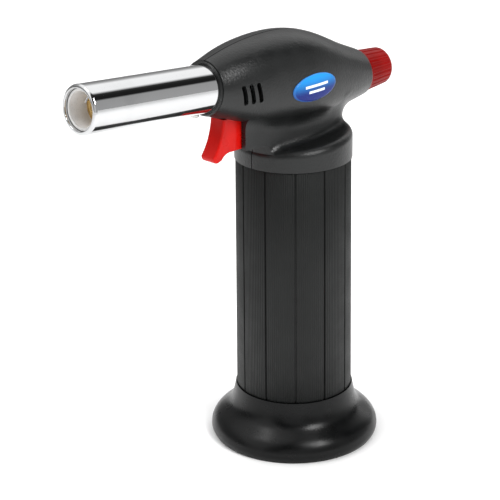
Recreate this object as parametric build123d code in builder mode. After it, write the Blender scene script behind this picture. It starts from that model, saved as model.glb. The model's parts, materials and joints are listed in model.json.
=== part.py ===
from build123d import *
import os
from math import copysign, cos, pi, radians, sin

os.makedirs("parts", exist_ok=True)

# ------------------------------------------------------------------ driving dimensions (mm)
# Frame: +Z up, origin on the handle axis at the foot's bottom face, barrel towards -X.
FOOT_H = 24.6             # height of the joint between foot and handle
FOOT_R = 38.5             # widest radius of the foot
FOOT_WALL = 2.6
FOOT_PLATE = 2.6          # flat plate that the torch stands on
WELL_R = 9.0              # refill well in the middle of the foot
WELL_H = 11.4
WELL_MOUTH = 3.0          # full-width stretch at the well's mouth
FOOT_SCREWS = 3
FOOT_SCREW_PCD = 34.0
FOOT_SCREW_SINK = 3.2
FOOT_SCREW_HEAD = 1.8

SLEEVE_R_LOW = 26.4       # handle sleeve, a little narrower towards the head
SLEEVE_R_TOP = 25.7
SLEEVE_BORE = 24.0
SLEEVE_TOP = 133.5
GROOVES = 12
GROOVE_W = 0.9
GROOVE_DEPTH = 0.7

TANK_R = 22.8
TANK_WALL = 2.0
TANK_BOTTOM = 11.6
TANK_TOP = 119.0
CAP_H = 8.0
FEED_X = 16.5             # gas pipe from the tank up to the valve block
FEED_R = 1.5

COLLAR_R = 26.2
COLLAR_BOTTOM = 133.8
COLLAR_MID = 145.0        # shoulder height above the handle axis
SHOULDER_SLOPE = 5.5      # degrees, rising towards the rear
SHOULDER_ROUND = 3.2
WALL = 2.2                # wall of the two head shells
SEAM = 0.22               # half width of the parting line's groove
SEAM_DEPTH = 0.8

BARREL_Z = 171.0          # barrel axis height where it crosses the handle axis
BARREL_TILT = 4.7         # degrees, up towards the mouth
BARREL_R = 10.2
BARREL_WALL = 0.8
BARREL_TAIL = 38.0        # distances along the barrel axis from the handle axis
BARREL_MOUTH = 121.2
LIP_R = 8.45
LIP_ROUND = 1.3           # rounded rim of the barrel's mouth
RING_R = 11.5
RING_BACK = 53.8          # front face of the head shells
RING_FRONT = 54.6
LINER_R = 8.3
LINER_WALL = 0.9
LINER_BACK = 96.0
LINER_FRONT = 119.6
HOLDER_BACK = 98.5
HOLDER_FRONT = 110.5
MIXER_R = 4.2
MIXER_BACK = 34.0
JET_BACK = 22.0
JET_TIP = 37.0
BARREL_SCREW_S = 58.5

KNOB_Z = 163.3
KNOB_R_BASE = 9.7
KNOB_R_END = 8.4
KNOB_BACK = 36.5          # the knob's hub, inside the rear opening
KNOB_HUB_R = 7.8
KNOB_END = 57.6
KNOB_FLUTES = 24
REAR_X = 41.2             # rear face of the head
SPINDLE_R = 2.5
BLOCK_X0 = 12.0
BLOCK_X1 = 28.0
BLOCK_HALF = 6.0
BLOCK_Z0 = 157.6
BLOCK_Z1 = 171.6

TRIGGER_HALF = 4.1
SLOT_HALF = 4.6
NECK_FRONT = -36.6
TRIGGER_BACK = -22.0

PIEZO_Z = 152.4
PIEZO_X0 = -8.0
PIEZO_X1 = 13.0
PIEZO_HALF = 4.0
PLUNGER_R = 2.4

LEVER_X = -2.0            # pivot of the gas lever
LEVER_Z = 166.0
LEVER_HALF = 2.6
LEVER_TIP_Z = 157.0
VALVE_PIN_Z = 162.5
PIN_R = 1.25

ELECTRODE_UP = 5.9        # height of the electrode above the barrel axis
VENT_X = (-43.4, -39.7, -36.0)
VENT_Z = 172.8
VENT_H = 9.0
VENT_W = 2.0
VENT_LEAN = 12.0          # degrees, foot of each vent towards the mouth
BADGE_X = -5.0
BADGE_Z = 169.2
BADGE_HALF_W = 13.4
BADGE_HALF_H = 5.9
BADGE_T = 0.7

CHIN_R = 25.6             # the neck's front overhangs the collar outside this radius
CHIN_Z = 145.8            # and above this height
THROAT_ROUND = 8.0        # blend between head and neck
SHELF_ROUND = 4.0         # blend between neck and shoulder
BOSS_R = 2.9              # bosses of the left shell
BOSS_R_HEAD = 4.2         # bosses of the right shell, round the screw heads
SHELL_SCREW_R = 1.25
SHELL_SCREW_IN = 7.0      # depth of the screws in the left shell
SHELL_SEAT = 6.5          # height of their heads' seats in the right shell
SPIGOT_Z = 124.2          # the shells' inner skirt inside the sleeve
SPIGOT_BORE = 21.8
TONGUE_Z = 157.6          # top of the trigger's guide block
TONGUE_LOW = 156.8        # tongue that reaches the gas lever
TONGUE_TOP = 158.9
TONGUE_TIP = -3.6

FIT = 0.05                # radial clearance of a running fit
GAP = 0.3                 # gap between faces that pass each other

# Head stations along X: top, bottom, height of the widest line, half width, squareness.
HEAD = [
    (-55.2, 186.8, 164.1, 175.6, 11.5, 2.0),
    (-44.0, 189.6, 160.2, 174.4, 14.2, 2.1),
    (-32.0, 191.7, 156.6, 173.0, 16.2, 2.3),
    (-18.0, 192.6, 153.6, 171.4, 17.5, 2.4),
    (-4.0, 191.7, 151.4, 169.8, 17.8, 2.4),
    (8.0, 188.6, 150.4, 168.2, 17.0, 2.3),
    (20.0, 183.3, 150.8, 166.4, 15.2, 2.2),
    (31.0, 178.2, 151.8, 164.9, 12.9, 2.1),
    (REAR_X, 173.8, 152.8, KNOB_Z, 10.5, 2.0),
]
# Neck levels: height, rear end, half width in front, half width and place of the widest part.
NECK = [
    (139.0, 23.0, 7.2, 15.5, 6.0),
    (145.6, 25.6, 7.0, 14.2, 8.0),
    (150.6, 26.6, 7.0, 12.0, 10.0),
    (156.0, 30.0, 7.0, 12.9, 10.0),
    (164.0, 33.0, 7.4, 14.0, 8.0),
]

# Cross ribs inside the shells: rear and front station, lower and upper height.
RIBS = [
    (-52.0, -50.6, 160, 190), (-41.0, -39.6, 168, 188), (-27.0, -25.6, 167, 177),
    (13.4, 14.8, 158.5, 176), (25.0, 26.4, 158.5, 172), (-6.5, -5.2, 146.5, 154), (9.4, 10.7, 146.5, 154),
]

# ------------------------------------------------------------------ shared planes
TILT = radians(BARREL_TILT)
BARREL_DIR = (-cos(TILT), 0, sin(TILT))
BARREL = Plane(origin=(0, 0, BARREL_Z), x_dir=(0, 1, 0), z_dir=BARREL_DIR)
BARREL_SIDE = Plane(origin=(0, 0, BARREL_Z), x_dir=BARREL_DIR, z_dir=(0, 1, 0))
BARREL_AXIS = Axis((0, 0, BARREL_Z), BARREL_DIR)
KNOB_AXIS = Axis((0, 0, KNOB_Z), (1, 0, 0))
BOSSES = [(-30.0, 186.4), (24.5, 176.4), (-14.5, 165.4), (6.0, 140.2)]


def facing_x(x, z):
    """Plane facing +X, with its origin on the symmetry plane."""
    return Plane(origin=(x, 0, z), x_dir=(0, 1, 0), z_dir=(1, 0, 0))


def save(part, name):
    """Label a finished piece and write its STEP file."""
    part.label = name
    export_step(part, f"parts/{name}.step")


def tube(plane, r_out, r_in, length):
    """A plain tube standing on a plane; r_in = 0 makes a rod."""
    with BuildPart() as piece:
        with BuildSketch(plane):
            Circle(r_out)
            if r_in > 0:
                Circle(r_in, mode=Mode.SUBTRACT)
        extrude(amount=length)
    return piece.part


def turned(plane, points, axis):
    """A turned piece: its half profile, given as corner points on a plane, goes round an axis."""
    with BuildPart() as piece:
        with BuildSketch(plane):
            with BuildLine():
                Polyline(*points, close=True)
            make_face()
        revolve(axis=axis)
    return piece.part


def coil(plane, radius, wire, length, turns):
    """A compression spring standing on a plane."""
    with BuildPart() as piece:
        with BuildLine():
            path = Helix(pitch=length / turns, height=length, radius=radius)
        with BuildSketch(Plane(origin=path @ 0, z_dir=path % 0)):
            Circle(wire / 2)
        sweep(path=path, is_frenet=True)
    return plane.location * piece.part


# ------------------------------------------------------------------ foot, handle and tank
def make_foot():
    """Trumpet foot: a thin skirt, a flat base plate, the refill well and three screw bosses."""
    inner = FOOT_R - FOOT_WALL
    with BuildPart() as foot:
        with BuildSketch(Plane.XZ):
            with BuildLine():
                Line((WELL_R, 0), (FOOT_R - 1.3, 0))
                Spline((FOOT_R - 1.3, 0), (FOOT_R, 4.2), (FOOT_R - 1.8, 8.4), (FOOT_R - 5.8, 11.9),
                       (FOOT_R - 8.8, 14.8), (FOOT_R - 10.2, 18.0), (SLEEVE_R_LOW + 0.5, FOOT_H))
                Polyline((SLEEVE_R_LOW + 0.5, FOOT_H), (SLEEVE_BORE, FOOT_H), (SLEEVE_BORE, 20.5))
                Spline((SLEEVE_BORE, 20.5), (inner - 9.4, 14.4), (inner - 5.4, 10.2), (inner - 1.0, 5.2),
                       (inner - 1.6, FOOT_PLATE))
                Polyline((inner - 1.6, FOOT_PLATE), (WELL_R + 2, FOOT_PLATE), (WELL_R + 2, WELL_H),
                         (WELL_R - 0.6, WELL_H), (WELL_R - 0.6, WELL_MOUTH), (WELL_R, WELL_MOUTH),
                         (WELL_R, 0))
            make_face()
        revolve(axis=Axis.Z)
        with BuildSketch(Plane.XY.offset(FOOT_H - 3)):
            Circle(SLEEVE_BORE + 0.5)
            Circle(TANK_R + 0.2, mode=Mode.SUBTRACT)
        extrude(amount=3)
        with BuildSketch(Plane.XY.offset(FOOT_H)):
            Circle(SLEEVE_BORE - 0.1)
            Circle(TANK_R + 0.2, mode=Mode.SUBTRACT)
        extrude(amount=6)
        with BuildSketch(Plane.XY.offset(FOOT_PLATE / 2)):
            with PolarLocations(FOOT_SCREW_PCD / 2, FOOT_SCREWS):
                Circle(3.9)
        extrude(amount=WELL_H - FOOT_PLATE / 2)
        with BuildSketch(Plane.XY):
            with PolarLocations(FOOT_SCREW_PCD / 2, FOOT_SCREWS):
                Circle(1.75)
        extrude(amount=TANK_BOTTOM, mode=Mode.SUBTRACT)
        with BuildSketch(Plane.XY):
            with PolarLocations(FOOT_SCREW_PCD / 2, FOOT_SCREWS):
                Circle(3.0)
        extrude(amount=FOOT_SCREW_SINK, mode=Mode.SUBTRACT)
    return foot.part


def make_foot_screws():
    """Three cross-head screws that hold the foot to the tank's bosses."""
    low = FOOT_SCREW_SINK - FOOT_SCREW_HEAD
    with BuildPart() as screws:
        with BuildSketch(Plane.XY.offset(low)):
            with PolarLocations(FOOT_SCREW_PCD / 2, FOOT_SCREWS):
                Circle(2.7)
        extrude(amount=FOOT_SCREW_HEAD)
        with BuildSketch(Plane.XY.offset(low)):
            with PolarLocations(FOOT_SCREW_PCD / 2, FOOT_SCREWS):
                Circle(1.4)
        extrude(amount=14.0)
        with BuildSketch(Plane.XY.offset(low)):
            with PolarLocations(FOOT_SCREW_PCD / 2, FOOT_SCREWS):
                Rectangle(3.4, 0.8)
                Rectangle(0.8, 3.4)
        extrude(amount=0.9, mode=Mode.SUBTRACT)
    return screws.part


def groove_cutter():
    """One long groove's waste, following the sleeve's taper."""
    with BuildPart() as cutter:
        with BuildSketch(Plane.XY.offset(FOOT_H)):
            with Locations((SLEEVE_R_LOW, 0)):
                Rectangle(2 * GROOVE_DEPTH, GROOVE_W)
        with BuildSketch(Plane.XY.offset(SLEEVE_TOP + 0.1)):
            with Locations((SLEEVE_R_TOP, 0)):
                Rectangle(2 * GROOVE_DEPTH, GROOVE_W)
        loft()
    return cutter.part


def make_sleeve():
    """Handle sleeve: a slightly tapered tube with twelve long grooves."""
    base = FOOT_H + 0.1
    groove = groove_cutter()
    with BuildPart() as sleeve:
        with BuildSketch(Plane.XZ):
            with BuildLine():
                Polyline((SLEEVE_BORE, base), (SLEEVE_R_LOW, base), (SLEEVE_R_TOP, SLEEVE_TOP),
                         (SLEEVE_BORE, SLEEVE_TOP), close=True)
            make_face()
        revolve(axis=Axis.Z)
        with PolarLocations(0, GROOVES, start_angle=180 / GROOVES):
            add(groove, mode=Mode.SUBTRACT)
    return sleeve.part


def make_tank():
    """Fuel tank: a moulded cup with a threaded valve seat and screw bosses in its floor."""
    with BuildPart() as tank:
        with BuildSketch(Plane.XZ):
            with BuildLine():
                Polyline((4.0, TANK_BOTTOM), (TANK_R - 1, TANK_BOTTOM), (TANK_R, TANK_BOTTOM + 1),
                         (TANK_R, TANK_TOP), (TANK_R - TANK_WALL, TANK_TOP),
                         (TANK_R - TANK_WALL, TANK_BOTTOM + 2.5), (7.0, TANK_BOTTOM + 2.5),
                         (7.0, TANK_BOTTOM + 9), (4.0, TANK_BOTTOM + 9), close=True)
            make_face()
        revolve(axis=Axis.Z)
        with BuildSketch(Plane.XY.offset(TANK_BOTTOM + 1)):
            with PolarLocations(FOOT_SCREW_PCD / 2, FOOT_SCREWS):
                Circle(3.2)
        extrude(amount=8)
        with BuildSketch(Plane.XY.offset(TANK_BOTTOM)):
            with PolarLocations(FOOT_SCREW_PCD / 2, FOOT_SCREWS):
                Circle(1.42)
        extrude(amount=7, mode=Mode.SUBTRACT)
    return tank.part


def make_tank_cap():
    """Tank cap: a plug with a seal groove, a flange and the port of the gas pipe."""
    plug = TANK_R - TANK_WALL - 0.1
    groove = plug - 1.6
    flange = TANK_R + 0.9
    with BuildPart() as cap:
        with BuildSketch(Plane.XZ):
            with BuildLine():
                Polyline((0, TANK_TOP - 7), (plug, TANK_TOP - 7), (plug, TANK_TOP - 5),
                         (groove, TANK_TOP - 5), (groove, TANK_TOP - 2.8), (plug, TANK_TOP - 2.8),
                         (plug, TANK_TOP), (flange, TANK_TOP), (flange, TANK_TOP + CAP_H - 3),
                         (0, TANK_TOP + CAP_H - 3), close=True)
            make_face()
        revolve(axis=Axis.Z)
        with BuildSketch(Plane.XY.offset(TANK_TOP)):
            with Locations((FEED_X, 0)):
                Circle(3.4)
        extrude(amount=CAP_H)
        with BuildSketch(Plane.XY.offset(TANK_TOP - 7)):
            with Locations((FEED_X, 0)):
                Circle(FEED_R)
        extrude(amount=CAP_H + 7, mode=Mode.SUBTRACT)
    return cap.part


def make_tank_seal():
    """O-ring in the tank cap's groove."""
    with BuildPart() as seal:
        with BuildSketch(Plane.XZ):
            with Locations((TANK_R - TANK_WALL - 0.85, TANK_TOP - 3.9)):
                Circle(0.8)
        revolve(axis=Axis.Z)
    return seal.part


# ------------------------------------------------------------------ refill valve
def make_refill_body():
    """Brass refill valve body, screwed into the tank's floor, with a stepped bore."""
    return turned(Plane.XZ, [
        (1.6, 5.2), (3.0, 5.2), (3.4, 5.6), (3.4, 8.4), (6.0, 8.4), (6.0, TANK_BOTTOM - 0.4),
        (3.95, TANK_BOTTOM - 0.4), (3.95, 21.6), (0.9, 21.6), (0.9, 20.6), (2.3, 20.6),
        (2.3, 7.4), (1.6, 7.4)], Axis.Z)


def make_refill_stem():
    """Sprung filling stem: a hollow nozzle tip with a collar above it."""
    return turned(Plane.XZ, [
        (0.6, 3.4), (1.3, 3.4), (1.5, 3.8), (1.5, 8.7), (2.2, 8.7), (2.2, 10.2),
        (1.0, 10.2), (1.0, 12.4), (0, 12.4), (0, 7.0), (0.6, 7.0)], Axis.Z)


# ------------------------------------------------------------------ head shells
def head_outline(width, top, bottom, square):
    """Closed curve of a head section, in a plane facing +X with its origin on the widest line."""
    steps = 24
    points = []
    for i in range(steps):
        turn = 2 * pi * (i + 0.5) / steps
        rise = top if sin(turn) > 0 else bottom
        y = copysign(abs(cos(turn)) ** (2 / square), cos(turn)) * width
        z = copysign(abs(sin(turn)) ** (2 / square), sin(turn)) * rise
        points.append((y, z))
    Spline(*points, periodic=True)


def head_solid(inset):
    """The egg-shaped head, lofted through its stations and shrunk by an inset."""
    with BuildPart() as head:
        for x, top, bottom, widest, half, square in HEAD:
            with BuildSketch(facing_x(x, widest)):
                with BuildLine():
                    head_outline(half - inset, top - widest - inset, widest - bottom - inset, square)
                make_face()
        loft()
    return head.part


def neck_solid(inset):
    """The neck that joins head and collar, narrow in front, where it overhangs the collar."""
    front = NECK_FRONT + inset
    with BuildPart() as neck:
        for level, rear, front_half, half, widest_x in NECK:
            with BuildSketch(Plane.XY.offset(level)):
                with BuildLine():
                    Line((front, inset - front_half), (front, front_half - inset))
                    Spline((front, front_half - inset), (widest_x, half - inset), (rear - inset, 0),
                           tangents=((1, 0.1), (0, -1)))
                    Spline((rear - inset, 0), (widest_x, inset - half), (front, inset - front_half),
                           tangents=((0, -1), (-1, 0.1)))
                make_face()
        loft()
        with BuildSketch(Plane.XY.offset(COLLAR_BOTTOM)):
            with Locations((-40, 0)):
                Rectangle(40, 40)
            Circle(CHIN_R - inset, mode=Mode.SUBTRACT)
        extrude(amount=CHIN_Z + inset - COLLAR_BOTTOM, mode=Mode.SUBTRACT)
    return neck.part


def shoulder_solid(inset):
    """The collar, cut by the sloping shoulder plane and rounded along its rim."""
    lean = radians(SHOULDER_SLOPE)
    with BuildPart() as collar:
        with BuildSketch(Plane.XY.offset(COLLAR_BOTTOM)):
            Circle(COLLAR_R - inset)
        extrude(amount=24)
        slope = Plane(origin=(0, 0, COLLAR_MID - inset), z_dir=(-sin(lean), 0, cos(lean)))
        split(bisect_by=slope, keep=Keep.BOTTOM)
        fillet(collar.edges().filter_by(GeomType.ELLIPSE), radius=SHOULDER_ROUND - min(inset, 2.0))
    return collar.part


def head_body():
    """Outer form of both shells together, with the neck blended into head and shoulder."""
    with BuildPart() as body:
        add(head_solid(0))
        add(neck_solid(0))
        throat = body.edges().filter_by(lambda e: e.length > 100 and 150 < e.center().Z < 163)
        fillet(throat, radius=THROAT_ROUND)
        add(shoulder_solid(0))
        shelf = body.edges().filter_by(
            lambda e: 7 < e.length < 45 and e.center().Z > 141 and e.center().X > -8
            and e.center().Z < 148 and (e.center().X ** 2 + e.center().Y ** 2) ** 0.5 < 22.5)
        fillet(shelf, radius=SHELF_ROUND)
        fillet(body.edges().filter_by(lambda e: e.bounding_box().min.X > REAR_X - 0.05), radius=1.1)
        split(bisect_by=BARREL.offset(RING_BACK), keep=Keep.BOTTOM)
    return body.part


def rib(x0, x1, z0, z1, inside):
    """A cross rib that fills the hollow between two stations and two heights."""
    with BuildPart() as plate:
        with BuildSketch(facing_x(x0, (z0 + z1) / 2)):
            Rectangle(60, z1 - z0)
        extrude(amount=x1 - x0)
        add(inside, mode=Mode.INTERSECT)
    return plate.part


def side_rod(x, z, radius, y0, y1):
    """A rod along Y between two distances from the symmetry plane."""
    with BuildPart() as rod:
        with BuildSketch(Plane(origin=(x, y0, z), x_dir=(1, 0, 0), z_dir=(0, 1, 0))):
            Circle(radius)
        extrude(amount=y1 - y0)
    return rod.part


def box_between(low, high):
    """A block between two opposite corners."""
    middle = [(a + b) / 2 for a, b in zip(low, high)]
    with BuildPart() as block:
        with Locations(tuple(middle)):
            Box(high[0] - low[0], high[1] - low[1], high[2] - low[2])
    return block.part


def vent_cutter():
    """The three slanted vents, cut through both sides."""
    with BuildPart() as cutter:
        with BuildSketch(Plane.XZ):
            with Locations([(x, VENT_Z) for x in VENT_X]):
                SlotOverall(VENT_H, VENT_W, rotation=90 + VENT_LEAN)
        extrude(amount=25, both=True)
    return cutter.part


def make_shells():
    """The two head shells: one hollow form with ribs, bosses and openings, split at Y = 0."""
    outer = head_body()
    hollow = head_solid(WALL) + neck_solid(WALL) + shoulder_solid(WALL)
    core = head_solid(SEAM_DEPTH) + neck_solid(SEAM_DEPTH) + shoulder_solid(SEAM_DEPTH)
    filled = head_solid(WALL - 0.2) + neck_solid(WALL - 0.2)
    with BuildPart() as shell:
        add(outer)
        add(hollow, mode=Mode.SUBTRACT)
        for x0, x1, z0, z1 in RIBS:
            add(rib(x0, x1, z0, z1, filled))
        for x, z in BOSSES:
            add(side_rod(x, z, BOSS_R, -30, 0) & outer)
            add(side_rod(x, z, BOSS_R_HEAD, 0, 30) & outer)
        for side in (-1, 1):
            add(side_rod(LEVER_X, LEVER_Z, 2.5, side * (LEVER_HALF + GAP), side * 16) & filled)
        add(tube(Plane.XY.offset(SPIGOT_Z), SLEEVE_BORE - 0.1, SPIGOT_BORE, COLLAR_BOTTOM - SPIGOT_Z))
        add(tube(Plane.XY.offset(COLLAR_BOTTOM), COLLAR_R - WALL + 0.2, SPIGOT_BORE, 3))
        add(tube(BARREL.offset(BARREL_TAIL - 0.2), BARREL_R + 0.03, 0, 30), mode=Mode.SUBTRACT)
        add(tube(BARREL.offset(-20), 2.9, 0, 60), mode=Mode.SUBTRACT)
        add(box_between((BLOCK_X0, -BLOCK_HALF, BLOCK_Z0), (BLOCK_X1, BLOCK_HALF, BLOCK_Z1)),
            mode=Mode.SUBTRACT)
        add(tube(facing_x(BLOCK_X1 - 1, KNOB_Z), KNOB_HUB_R + GAP, 0, 30), mode=Mode.SUBTRACT)
        add(box_between((PIEZO_X0, -PIEZO_HALF, PIEZO_Z - PIEZO_HALF),
                        (PIEZO_X1, PIEZO_HALF, PIEZO_Z + PIEZO_HALF)), mode=Mode.SUBTRACT)
        add(box_between((-48.5, -SLOT_HALF, 145.1), (-20, SLOT_HALF, 161.4)), mode=Mode.SUBTRACT)
        add(tube(Plane.XY.offset(130), FEED_R + 0.4, 0, 28).moved(Location((FEED_X, 0, 0))),
            mode=Mode.SUBTRACT)
        add(vent_cutter(), mode=Mode.SUBTRACT)
        add(side_rod(LEVER_X, LEVER_Z, PIN_R + 0.01, -12, 12), mode=Mode.SUBTRACT)
        for x, z in BOSSES:
            add(side_rod(x, z, SHELL_SCREW_R + 0.02, -SHELL_SCREW_IN, 30), mode=Mode.SUBTRACT)
            add(side_rod(x, z, 2.9, SHELL_SEAT, 30), mode=Mode.SUBTRACT)
        groove = box_between((-60, -SEAM, 130), (50, SEAM, 200)) - core
        add(groove - tube(Plane.XY.offset(120), COLLAR_R - 1, 0, 22), mode=Mode.SUBTRACT)
    left = split(shell.part, bisect_by=Plane.XZ, keep=Keep.TOP)
    right = split(shell.part, bisect_by=Plane.XZ, keep=Keep.BOTTOM)
    return left, right


def make_shell_screws():
    """Self-tapping screws that pull the right shell onto the left one's bosses."""
    with BuildPart() as screws:
        for x, z in BOSSES:
            add(side_rod(x, z, SHELL_SCREW_R, -SHELL_SCREW_IN + 0.6, SHELL_SEAT))
            add(side_rod(x, z, 2.6, SHELL_SEAT, SHELL_SEAT + 1.9))
        with BuildSketch(Plane(origin=(0, SHELL_SEAT + 1.0, 0), x_dir=(1, 0, 0), z_dir=(0, 1, 0))):
            with Locations([(x, -z) for x, z in BOSSES]):
                Rectangle(3.2, 0.8)
                Rectangle(0.8, 3.2)
        extrude(amount=2, mode=Mode.SUBTRACT)
    return screws.part


def make_badge():
    """Oval domed badge that follows the left shell's curved side."""
    with BuildPart() as badge:
        with BuildSketch(Plane.XZ):
            with Locations((BADGE_X, BADGE_Z)):
                Ellipse(BADGE_HALF_W, BADGE_HALF_H)
        extrude(amount=25)
        add(head_solid(-BADGE_T), mode=Mode.INTERSECT)
        add(head_solid(-0.03), mode=Mode.SUBTRACT)
    return badge.part


# ------------------------------------------------------------------ barrel and burner
def make_barrel():
    """Chrome barrel: a thin tube whose mouth is rolled inwards to a rounded lip."""
    bore = BARREL_R - BARREL_WALL
    lip = BARREL_MOUTH - LIP_ROUND
    with BuildPart() as barrel:
        with BuildSketch(BARREL_SIDE):
            with BuildLine():
                Polyline((lip, bore), (BARREL_TAIL, bore), (BARREL_TAIL, BARREL_R), (lip, BARREL_R))
                RadiusArc((lip, BARREL_R), (BARREL_MOUTH, BARREL_R - LIP_ROUND), LIP_ROUND)
                Line((BARREL_MOUTH, BARREL_R - LIP_ROUND), (BARREL_MOUTH, LIP_R + 0.3))
                RadiusArc((BARREL_MOUTH, LIP_R + 0.3), (BARREL_MOUTH - 0.3, LIP_R), 0.3)
                Polyline((BARREL_MOUTH - 0.3, LIP_R), (lip, LIP_R), (lip, bore))
            make_face()
        revolve(axis=BARREL_AXIS)
        add(side_hole(BARREL_SCREW_S, 0.95), mode=Mode.SUBTRACT)
    return barrel.part


def below_barrel(s):
    """Plane square to the barrel's lower side, facing away from the axis."""
    origin = BARREL_SIDE.from_local_coords((s, 0, 0))
    return Plane(origin=origin, x_dir=BARREL_DIR, z_dir=-BARREL_SIDE.y_dir)


def side_hole(s, radius):
    """A hole's waste that runs from the axis down through the barrel's lower wall."""
    return tube(below_barrel(s).offset(BARREL_R - 5), radius, 0, 8)


def make_barrel_screw():
    """Small round-headed screw under the barrel, into the mixer bush."""
    with BuildPart() as screw:
        with BuildSketch(below_barrel(BARREL_SCREW_S).offset(BARREL_R - 4)):
            Circle(0.9)
        extrude(amount=4.2)
        with BuildSketch(below_barrel(BARREL_SCREW_S).offset(BARREL_R + 0.1)):
            Circle(1.9)
        extrude(amount=1.3)
        fillet(screw.faces().sort_by(Axis.Z)[0].edges(), radius=1.0)
    return screw.part


def make_ring():
    """Black ring between the head shells and the barrel."""
    return turned(BARREL_SIDE, [
        (RING_BACK, BARREL_R + 0.05), (RING_FRONT, BARREL_R + 0.05), (RING_FRONT, RING_R - 0.5),
        (RING_FRONT - 0.4, RING_R), (RING_BACK, RING_R)], BARREL_AXIS)


def make_liner():
    """Pale ceramic flame tube inside the barrel's mouth."""
    return tube(BARREL.offset(LINER_BACK), LINER_R, LINER_R - LINER_WALL, LINER_FRONT - LINER_BACK)


def make_liner_bush():
    """Steel spacer ring that centres the flame tube in the barrel."""
    return tube(BARREL.offset(LINER_BACK + 2), BARREL_R - BARREL_WALL - 0.02, LINER_R + 0.02, 8)


def make_flame_holder():
    """Brass flame holder: a deep central throat, ring holes and a passage for the electrode."""
    bore = LINER_R - LINER_WALL - 0.05
    with BuildPart() as holder:
        with BuildSketch(BARREL_SIDE):
            with BuildLine():
                Polyline((HOLDER_BACK, MIXER_R + 0.02), (HOLDER_BACK, bore), (HOLDER_FRONT, bore),
                         (HOLDER_FRONT, bore - 1.0), (HOLDER_FRONT - 3.5, bore - 3.2),
                         (HOLDER_FRONT - 3.5, 2.4), (HOLDER_BACK + 4, 2.4), (HOLDER_BACK + 4, MIXER_R + 0.02),
                         close=True)
            make_face()
        revolve(axis=BARREL_AXIS)
        with BuildSketch(BARREL.offset(HOLDER_BACK)):
            with PolarLocations(4.0, 7, start_angle=90 + 360 / 7 / 2):
                Circle(0.8)
        extrude(amount=20, mode=Mode.SUBTRACT)
        add(electrode_rod(HOLDER_BACK - 1, HOLDER_FRONT + 1, 1.35), mode=Mode.SUBTRACT)
    return holder.part


def electrode_rod(s0, s1, radius):
    """A rod on the electrode's line, above the barrel axis."""
    start = BARREL_SIDE.from_local_coords((s0, ELECTRODE_UP, 0))
    return tube(Plane(origin=start, x_dir=(0, 1, 0), z_dir=BARREL_DIR), radius, 0, s1 - s0)


def make_mixer():
    """Steel mixing tube with four air holes beside the jet."""
    with BuildPart() as mixer:
        with BuildSketch(BARREL.offset(MIXER_BACK)):
            Circle(MIXER_R)
            Circle(MIXER_R - 0.6, mode=Mode.SUBTRACT)
        extrude(amount=HOLDER_BACK + 3.9 - MIXER_BACK)
        for turn in (45, 135):
            origin = BARREL.from_local_coords((0, 0, MIXER_BACK + 6.5))
            across = BARREL.x_dir.rotate(BARREL_AXIS, turn)
            with BuildSketch(Plane(origin=origin, z_dir=across)):
                Circle(1.4)
            extrude(amount=8, both=True, mode=Mode.SUBTRACT)
    return mixer.part


def make_mixer_bush():
    """Aluminium bush that carries the mixing tube in the barrel and takes the barrel screw."""
    with BuildPart() as bush:
        with BuildSketch(BARREL.offset(BARREL_SCREW_S - 4)):
            Circle(BARREL_R - BARREL_WALL - 0.02)
            Circle(MIXER_R + 0.02, mode=Mode.SUBTRACT)
        extrude(amount=8)
        with BuildSketch(BARREL.offset(BARREL_SCREW_S - 4)):
            with PolarLocations(6.8, 6):
                Circle(1.3)
        extrude(amount=8, mode=Mode.SUBTRACT)
        add(electrode_rod(BARREL_SCREW_S - 5, BARREL_SCREW_S + 5, 1.32), mode=Mode.SUBTRACT)
        add(side_hole(BARREL_SCREW_S, 0.92), mode=Mode.SUBTRACT)
    return bush.part


def make_jet():
    """Brass gas jet with a hexagon, a fine orifice and a tip inside the mixing tube."""
    with BuildPart() as jet:
        with BuildSketch(BARREL_SIDE):
            with BuildLine():
                Polyline((JET_BACK, 1.52), (JET_BACK, 2.8), (JET_BACK + 9, 2.8), (JET_BACK + 9, 3.3),
                         (JET_TIP - 3, 3.3), (JET_TIP, 1.4), (JET_TIP, 0.25), (JET_TIP - 3, 0.25),
                         (JET_TIP - 5, 1.2), (JET_BACK + 4, 1.2), (JET_BACK + 4, 1.52), close=True)
            make_face()
        revolve(axis=BARREL_AXIS)
        with BuildSketch(BARREL.offset(JET_BACK + 6)):
            RegularPolygon(4.6, 6)
            Circle(2.0, mode=Mode.SUBTRACT)
        extrude(amount=3)
    return jet.part


def make_electrode():
    """Spark electrode: a wire in front of the insulator, bent towards the axis."""
    start = BARREL_SIDE.from_local_coords((HOLDER_FRONT + 1.6, ELECTRODE_UP, 0))
    knee = BARREL_SIDE.from_local_coords((HOLDER_FRONT + 5.0, ELECTRODE_UP, 0))
    tip = BARREL_SIDE.from_local_coords((HOLDER_FRONT + 7.0, ELECTRODE_UP - 3.5, 0))
    with BuildPart() as wire:
        with BuildLine() as route:
            FilletPolyline(start, knee, tip, radius=1.2)
        with BuildSketch(Plane(origin=start, z_dir=BARREL_DIR)):
            Circle(0.45)
        sweep(path=route.wire())
    return wire.part


def lead_radii(points):
    """The largest bend radius that the two runs at each corner allow."""
    radii = []
    for before, here, after in zip(points, points[1:], points[2:]):
        run_in = here - before
        run_out = after - here
        half_turn = radians(run_in.get_angle(run_out)) / 2
        radii.append(0.45 * min(run_in.length, run_out.length) * cos(half_turn) / sin(half_turn))
    return radii


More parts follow.
